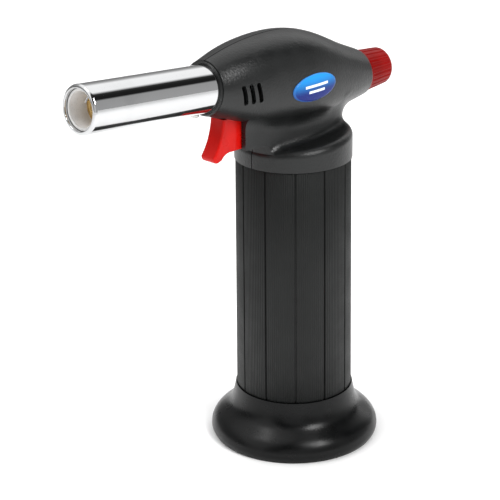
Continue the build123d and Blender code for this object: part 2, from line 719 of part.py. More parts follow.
def make_lead():
    """Insulated ignition lead from the igniter's top round the valve block to the electrode."""
    points = [Vector(9.0, 2.4, PIEZO_Z + PIEZO_HALF + 0.05), Vector(9.0, 2.4, 160.9),
              Vector(3.5, 7.4, 168.2), Vector(-9.5, 7.6, 177.4), Vector(-22.5, 3.4, 180.7),
              BARREL_SIDE.from_local_coords((31.0, ELECTRODE_UP, 0)),
              BARREL_SIDE.from_local_coords((BARREL_TAIL - 0.05, ELECTRODE_UP, 0))]
    radii = lead_radii(points)
    print("ignition lead radii", [round(r, 1) for r in radii])
    with BuildPart() as lead:
        with BuildLine() as route:
            FilletPolyline(*points, radius=radii)
        with BuildSketch(Plane(origin=points[0], z_dir=(0, 0, 1))):
            Circle(0.8)
        sweep(path=route.wire())
    print("ignition lead length", round(route.wire().length, 1), "volume", round(lead.part.volume, 1),
          "section times length", round(pi * 0.8 ** 2 * route.wire().length, 1))
    return lead.part


# ------------------------------------------------------------------ gas valve and knob
def make_valve_block():
    """Brass valve block with the spindle bore, its threaded neck, the pin bore and gas ports."""
    with BuildPart() as block:
        add(box_between((BLOCK_X0 + 0.02, -BLOCK_HALF + 0.02, BLOCK_Z0 + 0.02),
                        (BLOCK_X1 - 0.02, BLOCK_HALF - 0.02, BLOCK_Z1 - 0.02)))
        chamfer(block.edges().filter_by(Axis.X), length=1.0)
        with BuildSketch(facing_x(BLOCK_X1 - 0.02, KNOB_Z)):
            Circle(4.4)
        extrude(amount=4.5)
        with BuildSketch(facing_x(BLOCK_X1 - 9, KNOB_Z)):
            Circle(SPINDLE_R + FIT)
        extrude(amount=20, mode=Mode.SUBTRACT)
        with BuildSketch(facing_x(BLOCK_X1 + 2.4, KNOB_Z)):
            Circle(SPINDLE_R + 1.25)
        extrude(amount=5, mode=Mode.SUBTRACT)
        with BuildSketch(facing_x(BLOCK_X0, VALVE_PIN_Z)):
            Circle(PIN_R + FIT)
        extrude(amount=7.0, mode=Mode.SUBTRACT)
        with BuildSketch(facing_x(BLOCK_X0, delivery_z())):
            Circle(0.8)
        extrude(amount=9, mode=Mode.SUBTRACT)
        with BuildSketch(Plane.XY.offset(BLOCK_Z0)):
            with Locations((FEED_X, 0)):
                Circle(0.9)
        extrude(amount=3.5, mode=Mode.SUBTRACT)
    return block.part


def delivery_z():
    """Height of the barrel axis where it meets the valve block's front face."""
    return BARREL_Z - BLOCK_X0 * sin(TILT) / cos(TILT)


def make_spindle():
    """Valve spindle: a needle tip, a plain shaft and a flat for the knob."""
    with BuildPart() as spindle:
        with BuildSketch(facing_x(BLOCK_X1 - 8, KNOB_Z)):
            Circle(SPINDLE_R)
        extrude(amount=KNOB_END - 5.6 - (BLOCK_X1 - 8))
        chamfer(spindle.faces().sort_by(Axis.X)[0].edges(), length=1.6)
        with BuildSketch(facing_x(KNOB_END - 16, KNOB_Z + SPINDLE_R)):
            Rectangle(8, 1.6)
        extrude(amount=20, mode=Mode.SUBTRACT)
        with BuildSketch(facing_x(KNOB_END - 13, KNOB_Z)):
            Circle(1.1)
        extrude(amount=20, mode=Mode.SUBTRACT)
    return spindle.part


def make_gland_nut():
    """Hexagon nut that closes the spindle seal in the valve block's neck."""
    with BuildPart() as nut:
        with BuildSketch(facing_x(BLOCK_X1 + 0.2, KNOB_Z)):
            RegularPolygon(6.0, 6)
            Circle(4.42, mode=Mode.SUBTRACT)
        extrude(amount=4.4)
        with BuildSketch(facing_x(BLOCK_X1 + 4.6, KNOB_Z)):
            Circle(5.2)
            Circle(SPINDLE_R + FIT, mode=Mode.SUBTRACT)
        extrude(amount=0.9)
    return nut.part


def make_spindle_seal():
    """O-ring on the spindle, in the valve block's neck."""
    with BuildPart() as seal:
        with BuildSketch(Plane.XZ):
            with Locations((BLOCK_X1 + 3.4, KNOB_Z + SPINDLE_R + FIT + 0.58)):
                Circle(0.56)
        revolve(axis=KNOB_AXIS)
    return seal.part


def flute_cutter():
    """One flute's waste, following the knob's taper."""
    lift = 0.35
    with BuildPart() as cutter:
        with BuildSketch(facing_x(REAR_X + 1.6, KNOB_Z)):
            with Locations((0, KNOB_R_BASE + lift)):
                Circle(0.8)
        with BuildSketch(facing_x(KNOB_END + 0.5, KNOB_Z)):
            with Locations((0, KNOB_R_END + lift)):
                Circle(0.8)
        loft()
    return cutter.part


def make_knob():
    """Gas knob: a fluted tapered grip with a rounded end, a hub and a screw recess."""
    start = REAR_X + 0.4
    flute = flute_cutter()
    with BuildPart() as knob:
        with BuildSketch(Plane.XZ):
            with BuildLine():
                Polyline((KNOB_BACK, KNOB_Z), (KNOB_BACK, KNOB_Z + KNOB_HUB_R), (start, KNOB_Z + KNOB_HUB_R),
                         (start, KNOB_Z + KNOB_R_BASE), (KNOB_END - 1.8, KNOB_Z + KNOB_R_END + 0.1))
                RadiusArc((KNOB_END - 1.8, KNOB_Z + KNOB_R_END + 0.1), (KNOB_END, KNOB_Z + KNOB_R_END - 1.7), 1.8)
                Polyline((KNOB_END, KNOB_Z + KNOB_R_END - 1.7), (KNOB_END, KNOB_Z), (KNOB_BACK, KNOB_Z))
            make_face()
        revolve(axis=KNOB_AXIS)
        for i in range(KNOB_FLUTES):
            add(flute.rotate(KNOB_AXIS, i * 360 / KNOB_FLUTES), mode=Mode.SUBTRACT)
        add(tube(facing_x(KNOB_BACK, KNOB_Z), SPINDLE_R, 0, KNOB_END - 5.6 - KNOB_BACK), mode=Mode.SUBTRACT)
        add(tube(facing_x(KNOB_BACK, KNOB_Z), 1.3, 0, 30), mode=Mode.SUBTRACT)
        add(tube(facing_x(KNOB_END - 3.4, KNOB_Z), 3.2, 0, 10), mode=Mode.SUBTRACT)
        key = box_between((KNOB_END - 15.9, -SPINDLE_R, KNOB_Z + SPINDLE_R - 0.78),
                          (KNOB_END - 5.6, SPINDLE_R, KNOB_Z + SPINDLE_R))
        add(key & tube(facing_x(KNOB_BACK, KNOB_Z), SPINDLE_R + 0.2, 0, 30))
    return knob.part


def make_knob_screw():
    """Screw in the knob's end recess, into the spindle."""
    with BuildPart() as screw:
        with BuildSketch(facing_x(KNOB_END - 12.5, KNOB_Z)):
            Circle(1.08)
        extrude(amount=9.1)
        with BuildSketch(facing_x(KNOB_END - 3.4, KNOB_Z)):
            Circle(2.6)
        extrude(amount=1.9)
        with BuildSketch(facing_x(KNOB_END - 2.3, KNOB_Z)):
            Rectangle(3.4, 0.8)
            Rectangle(0.8, 3.4)
        extrude(amount=2, mode=Mode.SUBTRACT)
    return screw.part


# ------------------------------------------------------------------ trigger, igniter and lever
def make_trigger():
    """Trigger: a hollowed finger face in front, a guide block and a tongue that rocks the lever."""
    with BuildPart() as trigger:
        with BuildSketch(Plane.XZ):
            with BuildLine():
                Spline((-46.4, 160.9), (-47.4, 155.6), (-49.4, 150.2), (-52.4, 145.6))
                ThreePointArc((-52.4, 145.6), (-51.9, 143.5), (-49.6, 142.8))
                Line((-49.6, 142.8), (-47.6, 143.4))
                ThreePointArc((-47.6, 143.4), (-45.6, 145.2), (-43.0, 145.9))
                Polyline((-43.0, 145.9), (TRIGGER_BACK, 145.9), (TRIGGER_BACK, TONGUE_Z),
                         (NECK_FRONT + 2, TONGUE_Z), (NECK_FRONT + 2, 160.9), (-46.4, 160.9))
            make_face()
        extrude(amount=TRIGGER_HALF, both=True)
        front = trigger.edges().filter_by(lambda e: e.center().X < -44.5 and abs(e.center().Y) > 3.9)
        fillet(front, radius=0.9)
        add(box_between((TRIGGER_BACK - 4, -2.4, TONGUE_LOW), (TONGUE_TIP, 2.4, TONGUE_TOP)))
        with BuildSketch(facing_x(TRIGGER_BACK - 3, PIEZO_Z)):
            Circle(PLUNGER_R + 0.02)
        extrude(amount=4, mode=Mode.SUBTRACT)
    return trigger.part


def make_piezo_plunger():
    """Igniter plunger, carried by the trigger."""
    return tube(facing_x(TRIGGER_BACK - 3, PIEZO_Z), PLUNGER_R, 0, 23)


def make_piezo_body():
    """Igniter housing with the plunger's bore."""
    with BuildPart() as piezo:
        add(box_between((PIEZO_X0 + 0.02, -PIEZO_HALF + 0.02, PIEZO_Z - PIEZO_HALF + 0.02),
                        (PIEZO_X1 - 0.02, PIEZO_HALF - 0.02, PIEZO_Z + PIEZO_HALF - 0.02)))
        fillet(piezo.edges().filter_by(Axis.X), radius=0.8)
        with BuildSketch(facing_x(PIEZO_X0, PIEZO_Z)):
            Circle(PLUNGER_R + FIT)
        extrude(amount=15, mode=Mode.SUBTRACT)
    return piezo.part


def make_lever():
    """Gas lever that rocks on its pin and pushes the valve pin."""
    with BuildPart() as lever:
        with BuildSketch(Plane.XZ):
            with Locations((LEVER_X, LEVER_Z)):
                Circle(2.2)
            with Locations((LEVER_X, (LEVER_Z + LEVER_TIP_Z) / 2)):
                Rectangle(2.2, LEVER_Z - LEVER_TIP_Z)
            with Locations((LEVER_X, LEVER_Z)):
                Circle(PIN_R + FIT, mode=Mode.SUBTRACT)
        extrude(amount=LEVER_HALF, both=True)
    return lever.part


def make_valve_pin():
    """Valve pin in the front of the block, with a rounded nose."""
    with BuildPart() as pin:
        with BuildSketch(facing_x(LEVER_X + 1.4, VALVE_PIN_Z)):
            Circle(PIN_R)
        extrude(amount=15.4)
        fillet(pin.faces().sort_by(Axis.X)[0].edges(), radius=1.1)
    return pin.part


def main():
    save(make_foot(), "foot")
    save(make_foot_screws(), "foot_screws")
    save(make_sleeve(), "handle_sleeve")
    save(make_tank(), "fuel_tank")
    save(make_tank_cap(), "tank_cap")
    save(make_tank_seal(), "tank_seal")
    save(make_refill_body(), "refill_valve_body")
    save(make_refill_stem(), "refill_stem")
    save(coil(Plane.XY.offset(10.5), 1.7, 0.5, 9.8, 6), "refill_spring")
    save(tube(Plane.XY.offset(7.45), 2.2, 1.6, 1.2), "refill_seal")
    save(tube(Plane.XY.offset(TANK_BOTTOM - 0.38), 5.8, 4.0, 0.36), "refill_gasket")

    left, right = make_shells()
    save(left, "head_shell_left")
    save(right, "head_shell_right")
    save(make_shell_screws(), "head_screws")
    save(make_badge(), "badge")

    save(make_barrel(), "barrel")
    save(make_barrel_screw(), "barrel_screw")
    save(make_ring(), "barrel_ring")
    save(make_liner(), "flame_tube")
    save(make_liner_bush(), "flame_tube_bush")
    save(make_flame_holder(), "flame_holder")
    save(make_mixer(), "mixing_tube")
    save(make_mixer_bush(), "mixer_bush")
    save(make_jet(), "gas_jet")
    save(electrode_rod(BARREL_TAIL, HOLDER_FRONT + 1.6, 1.3), "electrode_insulator")
    save(make_electrode(), "electrode")
    save(make_lead(), "ignition_lead")

    save(make_valve_block(), "valve_block")
    save(make_spindle(), "valve_spindle")
    save(make_gland_nut(), "gland_nut")
    save(make_spindle_seal(), "spindle_seal")
    save(make_knob(), "gas_knob")
    save(make_knob_screw(), "knob_screw")
    save(tube(Plane.XY.offset(92), FEED_R, 0.9, BLOCK_Z0 - 92).moved(Location((FEED_X, 0, 0))), "feed_pipe")
    save(tube(Plane.XY.offset(84), 3.0, 0, 7.9).moved(Location((FEED_X, 0, 0))), "gas_filter")
    save(tube(Plane.XY.offset(153.8), 2.9, FEED_R + 0.02, 3.7).moved(Location((FEED_X, 0, 0))), "feed_nut")
    save(tube(BARREL.offset(-BLOCK_X0 + 0.25), FEED_R, 0.9, BLOCK_X0 + JET_BACK + 3.5), "delivery_pipe")

    save(make_trigger(), "trigger")
    save(make_piezo_plunger(), "piezo_plunger")
    save(make_piezo_body(), "piezo_body")
    spring_start = TRIGGER_BACK + 0.4
    save(coil(facing_x(spring_start, PIEZO_Z), 3.2, 0.7, PIEZO_X0 - 0.4 - spring_start, 6), "trigger_spring")
    save(make_lever(), "valve_lever")
    save(side_rod(LEVER_X, LEVER_Z, PIN_R, -10, 10), "lever_pin")
    save(make_valve_pin(), "valve_pin")


main()
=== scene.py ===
import json
from math import cos, pi, radians, sin

import bmesh
import bpy
from mathutils import Matrix, Vector
from mathutils.bvhtree import BVHTree


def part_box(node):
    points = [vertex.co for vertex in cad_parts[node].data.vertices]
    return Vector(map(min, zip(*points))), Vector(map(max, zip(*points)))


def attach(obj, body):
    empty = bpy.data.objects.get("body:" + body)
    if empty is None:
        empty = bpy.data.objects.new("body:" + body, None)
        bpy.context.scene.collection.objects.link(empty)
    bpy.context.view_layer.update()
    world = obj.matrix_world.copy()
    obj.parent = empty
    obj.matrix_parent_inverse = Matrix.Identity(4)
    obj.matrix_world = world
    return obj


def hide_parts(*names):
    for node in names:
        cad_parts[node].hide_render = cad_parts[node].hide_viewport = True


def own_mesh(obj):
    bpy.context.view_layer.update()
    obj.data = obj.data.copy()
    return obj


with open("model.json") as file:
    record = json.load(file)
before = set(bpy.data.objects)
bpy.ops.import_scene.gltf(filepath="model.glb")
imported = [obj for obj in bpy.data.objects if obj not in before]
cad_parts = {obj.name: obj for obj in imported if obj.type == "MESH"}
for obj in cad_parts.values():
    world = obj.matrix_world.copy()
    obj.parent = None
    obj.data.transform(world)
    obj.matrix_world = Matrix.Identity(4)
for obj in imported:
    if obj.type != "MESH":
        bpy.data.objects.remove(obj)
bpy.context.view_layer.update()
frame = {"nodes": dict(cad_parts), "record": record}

NODES = frame["nodes"]
MM = 0.001
TURN = 2 * pi

# ------------------------------------------------------------------ handle sleeve
GROOVES = 12                         # the long grooves, as in the CAD sleeve
GROOVE_HALF = 0.45 * MM
GROOVE_DEPTH = 0.7 * MM
SLEEVE_RADIUS = 26 * MM              # rounded outer radius, to turn angles into lengths
SLEEVE_BORE = 24 * MM                # radius of the bore
SLEEVE_TAPER = 0.7 * MM              # how much smaller the outer radius is at the top
SLEEVE_EDGE = 0.3 * MM               # height of the softened edge at each end
SLEEVE_EDGE_INSET = 0.25 * MM
SLEEVE_SHARP = radians(50)           # edges steeper than this are shaded sharp
RIBS_PER_PANEL = 14                  # fine ribs between two grooves
RIB_DEPTH = 0.13 * MM
SAMPLES_PER_RIB = 8
LAND_DEPTH = 0.12 * MM               # how far the surface dips beside a groove
LAND_WIDTH = 0.35 * MM

# ------------------------------------------------------------------ badge
BADGE_DOME = 0.55 * MM
BADGE_RINGS = 14
BADGE_COLUMNS = 72
BADGE_PROBE = 0.975                  # the CAD badge is sampled a little inside its rim
BADGE_PROBE_START = 10 * MM          # and from this far in front of it
BADGE_RIM_START = 0.88               # share of the way out where the rim starts to fall
BADGE_RIM_FALL = 0.35 * MM
BADGE_SKIRT = 0.5 * MM               # how far the rim runs back into the head
WELD = 0.001 * MM
BARS = ((0.2, 0.52), (-0.22, 0.36))  # height and half length, as shares of the badge's halves
BAR_HALF = 0.5 * MM
BAR_EDGE = 0.62 * MM                 # where a bar's blurred edge ends

# ------------------------------------------------------------------ camera and studio
CAMERA_PLACE = Vector((-0.52725, -0.49907, 0.3706))
CAMERA_HEADING = radians(44.98)      # turn of the view from +X towards +Y
CAMERA_PITCH = radians(21.21)        # downwards
CAMERA_ROLL = radians(-0.751)
CAMERA_LENS = 124.12                 # mm, on a sensor of the width below
CAMERA_SENSOR = 36                   # mm
CAMERA_NEAR = 10 * MM
FLOOR_HALF = 3.0
GLOW_START = 37.5 * MM               # the floor's painted glow rises from this distance from the handle's axis; its fade towards the foot paints the contact shadow's fall-off
GLOW_FULL = 62 * MM
FLOOR_GLOW = 0.34
AIM = Vector((0, 0, 0.1))            # what the lights point at
SOFTBOXES = {                        # azimuth, elevation, distance, width, height, power
    "softbox_left": (-113, 62, 0.95, 0.28, 0.4, 1.8),
    "softbox_right": (-6, 44, 0.95, 0.28, 0.4, 6.5),
    "softbox_front": (-47, 12, 1.2, 0.8, 0.6, 0.5),
}
STRIPS = [                           # degrees from straight up towards the near side, brightness
    (-95, 0.25), (-72, 0.3), (-56, 0.6), (-40, 1.5), (6, 1.5),
    (18, 0.05), (30, 0.02), (45, 0.02), (52, 0.5), (97, 0.55),
]
WHITE = (1, 1, 1, 1)


# ------------------------------------------------------------------ node helpers
def add_node(tree, kind, inputs=None, **settings):
    """Adds a node, with settings as attributes and inputs by name or number."""
    made = tree.nodes.new(kind)
    for name, value in settings.items():
        setattr(made, name, value)
    for name, value in (inputs or {}).items():
        if isinstance(value, bpy.types.NodeSocket):
            tree.links.new(value, made.inputs[name])
        else:
            made.inputs[name].default_value = value
    return made


def rgba(colour, gain=1.0):
    """A colour with full alpha, made lighter or darker."""
    return (*[min(1.0, c * gain) for c in colour], 1.0)


class Material:
    """A Principled material being put together, with short calls for its nodes."""

    def __init__(self, name, **sockets):
        self.data = bpy.data.materials.new(name)
        self.data.use_nodes = True
        self.tree = self.data.node_tree
        self.shader = self.tree.nodes["Principled BSDF"]
        for socket, value in sockets.items():
            self.shader.inputs[socket.replace("_", " ")].default_value = value
        self.coordinates = self.node("ShaderNodeTexCoord").outputs["Object"]

    def node(self, kind, inputs=None, **settings):
        """Adds a node to this material."""
        return add_node(self.tree, kind, inputs, **settings)

    def math(self, operation, a, b=0.0, c=0.0):
        """One Math node's result."""
        return self.node("ShaderNodeMath", {0: a, 1: b, 2: c}, operation=operation).outputs[0]

    def noise(self, size, detail=2.0, stretch=(1, 1, 1), roughness=0.5):
        """Noise with features about `size` metres wide. A small stretch factor draws them out."""
        place = self.node("ShaderNodeMapping", {"Vector": self.coordinates, "Scale": stretch})
        inputs = {"Vector": place.outputs[0], "Scale": 1 / size, "Detail": detail,
                  "Roughness": roughness}
        return self.node("ShaderNodeTexNoise", inputs).outputs[0]

    def ramp(self, factor, low, high, out_low=0.0, out_high=1.0):
        """A smooth step of a value between two levels."""
        inputs = {"Value": factor, "From Min": low, "From Max": high,
                  "To Min": out_low, "To Max": out_high}
        return self.node("ShaderNodeMapRange", inputs, interpolation_type="SMOOTHSTEP").outputs[0]

    def mix(self, factor, a, b):
        """A mix of two colours."""
        return self.node("ShaderNodeMix", {0: factor, 6: a, 7: b}, data_type="RGBA").outputs[2]

    def edges(self, low=0.52, high=0.6):
        """Mask of the convex edges."""
        pointiness = self.node("ShaderNodeNewGeometry").outputs["Pointiness"]
        return self.ramp(pointiness, low, high)

    def feed(self, socket, value):
        """Connects a result to one of the shader's sockets."""
        self.tree.links.new(value, self.shader.inputs[socket])

    def bump(self, *layers):
        """Stacks bump layers, each (height, depth in metres), on the shader's normal."""
        inputs = {"Strength": 1.0}
        for height, depth in layers:
            inputs.update({"Height": height, "Distance": depth})
            inputs["Normal"] = self.node("ShaderNodeBump", inputs).outputs[0]
        self.feed("Normal", inputs["Normal"])


# ------------------------------------------------------------------ kinds of material
def plastic(name, colour, rough, grain, depth, worn=1.5, **sockets):
    """Moulded plastic: spark-eroded grain, slightly uneven colour and gloss, convex edges lighter
    and glossier in patches.
    """
    m = Material(name, **sockets)
    patches = m.noise(14 * MM, 3)
    body = m.mix(m.ramp(patches, 0.3, 0.7), rgba(colour, 0.86), rgba(colour, 1.14))
    # Convex edges come out lighter and glossier in noisy patches.
    edge_patches = m.math("MULTIPLY", m.edges(), m.ramp(m.noise(2.5 * MM, 4), 0.35, 0.65))
    m.feed("Base Color", m.mix(m.math("MULTIPLY", edge_patches, 0.6), body, rgba(colour, worn)))
    smudges = m.ramp(m.noise(9 * MM, 4), 0.3, 0.75, rough - 0.04, rough + 0.06)
    m.feed("Roughness", m.math("MULTIPLY_ADD", edge_patches, -0.08, smudges))
    m.bump((m.noise(grain, 2, roughness=0.6), depth), (m.noise(4 * MM, 2), 0.012 * MM))
    return m.data


def metal(name, colour, rough, marks=(1, 1, 1), depth=0.01 * MM, tarnish=0.8):
    """Machined or plated metal: tool marks along one direction, tarnish, brighter edges."""
    m = Material(name, Metallic=1.0)
    stain = m.ramp(m.noise(6 * MM, 5), 0.42, 0.75)
    body = m.mix(stain, rgba(colour), rgba(colour, tarnish))
    m.feed("Base Color", m.mix(m.math("MULTIPLY", m.edges(), 0.5), body, rgba(colour, 1.2)))
    tool = m.noise(0.5 * MM, 3, stretch=marks)
    gloss = m.ramp(tool, 0.3, 0.7, rough * 0.8, rough * 1.3)
    m.feed("Roughness", m.math("MULTIPLY_ADD", stain, 0.08, gloss))
    m.bump((tool, depth))
    return m.data


def chrome(name, colour, hazy):
    """Polished plating: almost a mirror, with faint long scratches and a breath of haze."""
    m = Material(name, Metallic=1.0)
    haze = m.ramp(m.noise(12 * MM, 4), 0.45, 0.8)
    m.feed("Base Color", m.mix(haze, rgba(colour), rgba(hazy)))
    scratches = m.noise(0.35 * MM, 2, stretch=(0.03, 1, 1))
    m.feed("Roughness", m.ramp(scratches, 0.5, 0.8, 0.045, 0.11))
    m.bump((m.noise(7 * MM, 1, stretch=(0.3, 1, 1)), 0.004 * MM), (scratches, 0.0006 * MM))
    return m.data


def ceramic(name, colour):
    """Fired ceramic: chalky, with darker speckles."""
    m = Material(name)
    speckle = m.ramp(m.noise(0.6 * MM, 3), 0.58, 0.68)
    body = m.mix(m.ramp(m.noise(5 * MM, 3), 0.3, 0.7), rgba(colour, 0.93), rgba(colour, 1.05))
    m.feed("Base Color", m.mix(m.math("MULTIPLY", speckle, 0.35), body, rgba(colour, 0.6)))
    m.feed("Roughness", m.ramp(m.noise(2 * MM, 3), 0.3, 0.7, 0.5, 0.7))
    m.bump((m.noise(0.4 * MM, 3), 0.03 * MM))
    return m.data


def rubber(name, colour, rough=0.6, dust=(0.25, 0.24, 0.22)):
    """Rubber: matt, with patches of dust."""
    m = Material(name)
    dusty = m.ramp(m.noise(1.5 * MM, 4), 0.5, 0.75)
    m.feed("Base Color", m.mix(m.math("MULTIPLY", dusty, 0.25), rgba(colour), rgba(dust)))
    m.feed("Roughness", m.ramp(m.noise(1.2 * MM, 3), 0.3, 0.7, rough - 0.08, rough + 0.08))
    m.bump((m.noise(0.3 * MM, 2), 0.02 * MM))
    return m.data


def milky_plastic(name, colour):
    """Natural, slightly translucent plastic with flow marks."""
    m = Material(name, Subsurface_Weight=0.3, Subsurface_Scale=2 * MM, Coat_Weight=0.2)
    flow = m.ramp(m.noise(9 * MM, 3, stretch=(1, 1, 0.3)), 0.3, 0.7)
    m.feed("Base Color", m.mix(flow, rgba(colour, 0.92), rgba(colour, 1.06)))
    m.feed("Roughness", m.ramp(m.noise(3 * MM, 3), 0.3, 0.7, 0.28, 0.42))
    m.bump((m.noise(0.8 * MM, 2), 0.01 * MM))
    return m.data


def badge_film(name, light, deep, dots, bars, rim):
    """Printed film: light blue fading to deep blue, a different blue at the rim, two plain bars."""
    middle, half_width, half_height = badge_size()
    m = Material(name, Coat_Weight=0.08, Coat_Roughness=0.03, Roughness=0.3,
                 Specular_IOR_Level=0.1)
    split = m.node("ShaderNodeSeparateXYZ", {0: m.coordinates})
    across = m.math("SUBTRACT", split.outputs["X"], middle.x)
    up = m.math("SUBTRACT", split.outputs["Z"], middle.z)
    blue = m.mix(m.ramp(up, -0.45 * half_height, half_height), rgba(deep), rgba(light))
    grain = m.ramp(m.noise(0.25 * MM, 1), 0.35, 0.65)
    blue = m.mix(m.math("MULTIPLY", grain, 0.12), blue, rgba(dots))
    for level, share in BARS:
        away = m.math("ABSOLUTE", m.math("SUBTRACT", up, level * half_height))
        short = m.math("LESS_THAN", m.math("ABSOLUTE", across), share * half_width)
        bar = m.math("MULTIPLY", m.ramp(away, BAR_HALF, BAR_EDGE, 1.0, 0.0), short)
        blue = m.mix(bar, blue, rgba(bars))
    reach = m.math("POWER", m.math("DIVIDE", across, half_width), 2.0)
    rise = m.math("POWER", m.math("DIVIDE", up, half_height), 2.0)
    near_rim = m.ramp(m.math("ADD", reach, rise), 0.86, 0.93)
    m.feed("Base Color", m.mix(m.math("MULTIPLY", near_rim, 0.5), blue, rgba(rim)))
    m.bump((m.noise(1.5 * MM, 2), 0.006 * MM))
    return m.data


def floor_paper(name, dark, light):
    """Matt paper with a painted glow away from the torch, so that the far floor is white; the glow
    fades out towards the foot, a painted contact shadow.
    """
    m = Material(name, Roughness=0.7, Emission_Color=WHITE)
    m.feed("Base Color", m.mix(m.noise(40 * MM, 3), rgba(dark), rgba(light)))
    away = m.node("ShaderNodeVectorMath", {0: m.coordinates}, operation="LENGTH").outputs["Value"]
    # Painted glow that rises with distance from the handle's axis; where it fades out by the foot
    # it paints the contact shadow.
    m.feed("Emission Strength", m.ramp(away, GLOW_START, GLOW_FULL, 0.0, FLOOR_GLOW))
    return m.data


# ------------------------------------------------------------------ materials by slot
MATERIALS = {
    "black_plastic": (plastic, dict(colour=(0.0056, 0.0062, 0.0062), rough=0.34, grain=0.85 * MM,
                                    depth=0.13 * MM, Specular_IOR_Level=0.36)),
    "foot_plastic": (plastic, dict(colour=(0.0016, 0.0018, 0.0019), rough=0.30, grain=0.5 * MM,
                                   depth=0.008 * MM, Specular_IOR_Level=0.2)),
    "sleeve_plastic": (plastic, dict(colour=(0.0062, 0.0069, 0.0066), rough=0.44, grain=0.3 * MM,
                                     depth=0.015 * MM, Specular_IOR_Level=0.22)),
    "red_plastic": (plastic, dict(colour=(0.46, 0.004, 0.002), rough=0.30, grain=0.7 * MM,
                                  depth=0.006 * MM, worn=1.25, Specular_IOR_Level=0.15)),
    "knob_plastic": (plastic, dict(colour=(0.21, 0.002, 0.0015), rough=0.36, grain=0.5 * MM,
                                   depth=0.01 * MM, worn=1.25, Specular_IOR_Level=0.08)),
    "igniter_plastic": (plastic, dict(colour=(0.06, 0.062, 0.066), rough=0.4, grain=0.5 * MM,
                                      depth=0.01 * MM)),
    "acetal": (plastic, dict(colour=(0.75, 0.74, 0.70), rough=0.35, grain=0.6 * MM,
                             depth=0.006 * MM, worn=1.05)),
    "tank_plastic": (milky_plastic, dict(colour=(0.72, 0.73, 0.71))),
    "rubber": (rubber, dict(colour=(0.022, 0.022, 0.022))),
    "lead_skin": (rubber, dict(colour=(0.45, 0.03, 0.02), rough=0.42)),
    "ceramic": (ceramic, dict(colour=(0.78, 0.77, 0.76))),
    "chrome_tube": (chrome, dict(colour=(0.57, 0.575, 0.58), hazy=(0.53, 0.535, 0.54))),
    "brass": (metal, dict(colour=(0.72, 0.50, 0.20), rough=0.28, marks=(0.2, 1, 1))),
    "steel": (metal, dict(colour=(0.56, 0.56, 0.57), rough=0.3, marks=(0.15, 1, 1))),
    "aluminium": (metal, dict(colour=(0.78, 0.78, 0.79), rough=0.26, marks=(1, 1, 0.1))),
    "zinc_screw": (metal, dict(colour=(0.62, 0.62, 0.60), rough=0.33, depth=0.02 * MM)),
    "black_screw": (metal, dict(colour=(0.05, 0.05, 0.052), rough=0.38, depth=0.02 * MM)),
    "bronze_wick": (metal, dict(colour=(0.42, 0.29, 0.14), rough=0.6, depth=0.08 * MM)),
    "badge_film": (badge_film, dict(light=(0.02, 0.30, 0.75), deep=(0.006, 0.006, 0.12),
                                    dots=(0.03, 0.2, 0.7), bars=(0.8, 0.86, 0.92),
                                    rim=(0.06, 0.2, 0.55))),
}


def make_materials():
    """One material for each material slot in the record."""
    return {slot: make(slot, **looks) for slot, (make, looks) in MATERIALS.items()}


def dress_cad_nodes(materials):
    """Gives every CAD node the material of its slot in the record."""
    for part in frame["record"]["subparts"]:
        mesh = NODES[part["node"]].data
        mesh.materials.clear()
        mesh.materials.append(materials[part["material_slot"]])


# ------------------------------------------------------------------ pieces made as meshes
def add_piece(name, vertices, faces, material, body="torch"):
    """A smooth mesh piece that rides on a CAD body."""
    mesh = bpy.data.meshes.new(name)
    mesh.from_pydata(vertices, [], faces)
    mesh.validate()
    shape = bmesh.new()
    shape.from_mesh(mesh)
    bmesh.ops.recalc_face_normals(shape, faces=shape.faces)
    shape.to_mesh(mesh)
    shape.free()
    mesh.shade_smooth()
    mesh.materials.append(material)
    piece = bpy.data.objects.new(name, mesh)
    bpy.context.scene.collection.objects.link(piece)
    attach(piece, body)
    return piece


def sleeve_relief(turn):
    """How far the sleeve's surface lies below its round envelope at an angle."""
    panel = TURN / GROOVES
    off_groove = abs((turn % panel) - panel / 2) * SLEEVE_RADIUS
    if off_groove < GROOVE_HALF:
        return GROOVE_DEPTH
    ribs = RIB_DEPTH * abs(sin(turn * GROOVES * RIBS_PER_PANEL / 2)) ** 3
    share = min(1.0, (off_groove - GROOVE_HALF) / LAND_WIDTH)
    return ribs * share + LAND_DEPTH * (1 - share)


def make_sleeve(material):
    """The handle sleeve with its long grooves and the fine ribs between them."""
    low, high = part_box("handle_sleeve")
    length = high.z - low.z
    columns = GROOVES * RIBS_PER_PANEL * SAMPLES_PER_RIB
    rings = [(low.z, SLEEVE_BORE), (low.z, None), (low.z + SLEEVE_EDGE, None),
             ((low.z + high.z) / 2, None),
             (high.z - SLEEVE_EDGE, None), (high.z, None), (high.z, SLEEVE_BORE)]
    vertices = []
    for height, bore in rings:
        envelope = high.x - SLEEVE_TAPER * (height - low.z) / length
        inset = SLEEVE_EDGE_INSET if height in (low.z, high.z) else 0.0
        for i in range(columns):
            turn = TURN * i / columns
            radius = bore or envelope - sleeve_relief(turn) - inset
            vertices.append((radius * cos(turn), radius * sin(turn), height))
    faces = []
    for ring in range(len(rings)):
        here = ring * columns
        above = (ring + 1) % len(rings) * columns
        for i in range(columns):
            j = (i + 1) % columns
            faces.append((here + i, here + j, above + j, above + i))
    sleeve = add_piece("handle_sleeve_ribbed", vertices, faces, material)
    sleeve.data.set_sharp_from_angle(angle=SLEEVE_SHARP)
    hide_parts("handle_sleeve")


def badge_size():
    """The badge's middle, half width and half height."""
    low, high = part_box("badge")
    return (low + high) / 2, (high.x - low.x) / 2, (high.z - low.z) / 2


